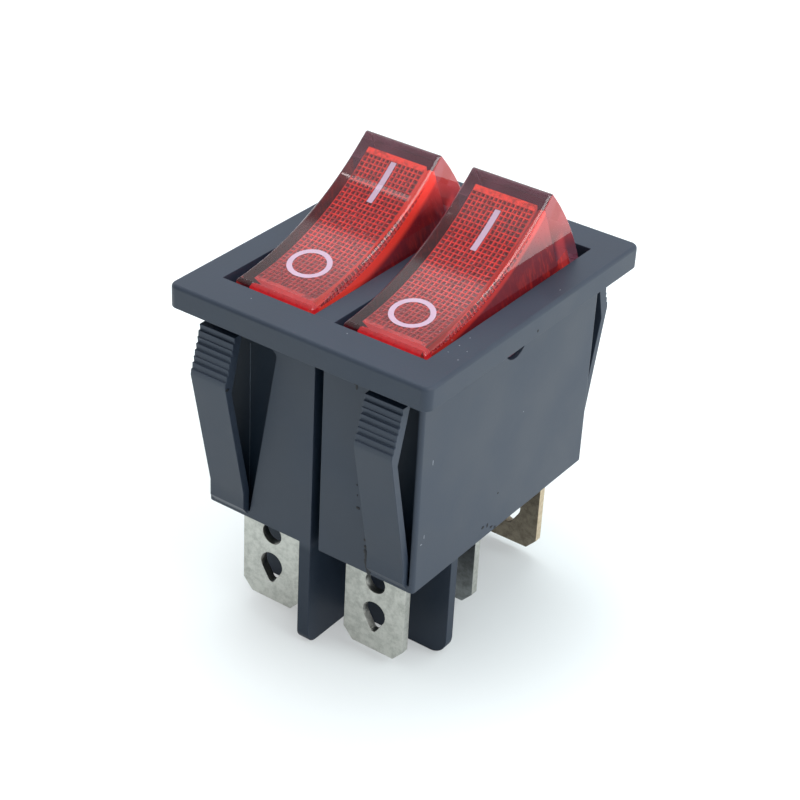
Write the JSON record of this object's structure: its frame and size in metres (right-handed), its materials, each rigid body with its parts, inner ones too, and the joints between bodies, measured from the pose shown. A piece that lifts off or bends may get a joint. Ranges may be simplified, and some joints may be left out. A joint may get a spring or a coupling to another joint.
{
  "type": "panel rocker switch",
  "caption": "Twin illuminated rocker switch for a panel: clear lenses over red cores in a black bezel housing with spring wings, terminal barriers and push-on blades.",
  "frame": {"origin": "centre of the panel cut-out, in the plane of the bezel's underside where it meets the panel", "axes": "+Z out of the panel towards the user, +Y along the rockers towards their on end, +X across the two rockers"},
  "size_m": [0.026, 0.0324, 0.0397],
  "materials": {
    "housing": "black nylon, satin mould texture",
    "lens": "clear faintly smoky polycarbonate, polished",
    "core": "translucent red polycarbonate with a fine moulded grid",
    "nickel_blade": "nickel plated brass, stamped",
    "brass_blade": "bare brass, slightly dull",
    "lever": "copper alloy strip, stamped and bent",
    "contact": "silver alloy contact rivet",
    "plunger": "natural acetal",
    "spring": "spring steel wire",
    "lamp": "clear glass bulb",
    "resistor": "lacquered ceramic body"
  },
  "bodies": {
    "housing": {"housing": "housing", "left_load_terminal": "nickel_blade", "left_line_terminal": "nickel_blade", "left_lamp_terminal": "brass_blade", "left_fixed_contact": "contact", "left_lamp_spring": "spring", "right_load_terminal": "nickel_blade", "right_line_terminal": "nickel_blade", "right_lamp_terminal": "brass_blade", "right_fixed_contact": "contact", "right_lamp_spring": "spring"},
    "left_rocker": {"left_lens": "lens", "left_core": "core", "left_neon_lamp": "lamp", "left_resistor": "resistor", "left_plunger_spring": "spring"},
    "left_plunger": {"left_plunger": "plunger"},
    "left_lever": {"left_lever": "lever", "left_lever_contact": "contact"},
    "right_rocker": {"right_lens": "lens", "right_core": "core", "right_neon_lamp": "lamp", "right_resistor": "resistor", "right_plunger_spring": "spring"},
    "right_plunger": {"right_plunger": "plunger"},
    "right_lever": {"right_lever": "lever", "right_lever_contact": "contact"}
  },
  "joints": [
    {"name": "left_rocker_hinge", "type": "hinge", "parent": "housing", "child": "left_rocker", "pos_m": [-0.0056, 0, -0.00135], "axis": [-1, 0, 0], "range_deg": [0, 46.4], "deforming": ["left_lamp_spring"]},
    {"name": "left_lever_hinge", "type": "hinge", "parent": "housing", "child": "left_lever", "pos_m": [-0.0056, 0, -0.01055], "axis": [1, 0, 0], "range_deg": [0, 12]},
    {"name": "left_plunger_slide", "type": "slide", "parent": "left_rocker", "child": "left_plunger", "axis": [0, -0.3939, 0.9191], "range_m": [0, 0.0008], "stiffness_N_per_m": 500, "springref_m": -0.001, "deforming": ["left_plunger_spring"]},
    {"name": "right_rocker_hinge", "type": "hinge", "parent": "housing", "child": "right_rocker", "pos_m": [0.0056, 0, -0.00135], "axis": [-1, 0, 0], "range_deg": [0, 46.4], "deforming": ["right_lamp_spring"]},
    {"name": "right_lever_hinge", "type": "hinge", "parent": "housing", "child": "right_lever", "pos_m": [0.0056, 0, -0.01055], "axis": [1, 0, 0], "range_deg": [0, 12]},
    {"name": "right_plunger_slide", "type": "slide", "parent": "right_rocker", "child": "right_plunger", "axis": [0, -0.3939, 0.9191], "range_m": [0, 0.0008], "stiffness_N_per_m": 500, "springref_m": -0.001, "deforming": ["right_plunger_spring"]}
  ],
  "couplings": [
    {"joint": "left_lever_hinge", "follows": "left_rocker_hinge", "ratio": 0.2586},
    {"joint": "right_lever_hinge", "follows": "right_rocker_hinge", "ratio": 0.2586}
  ]
}
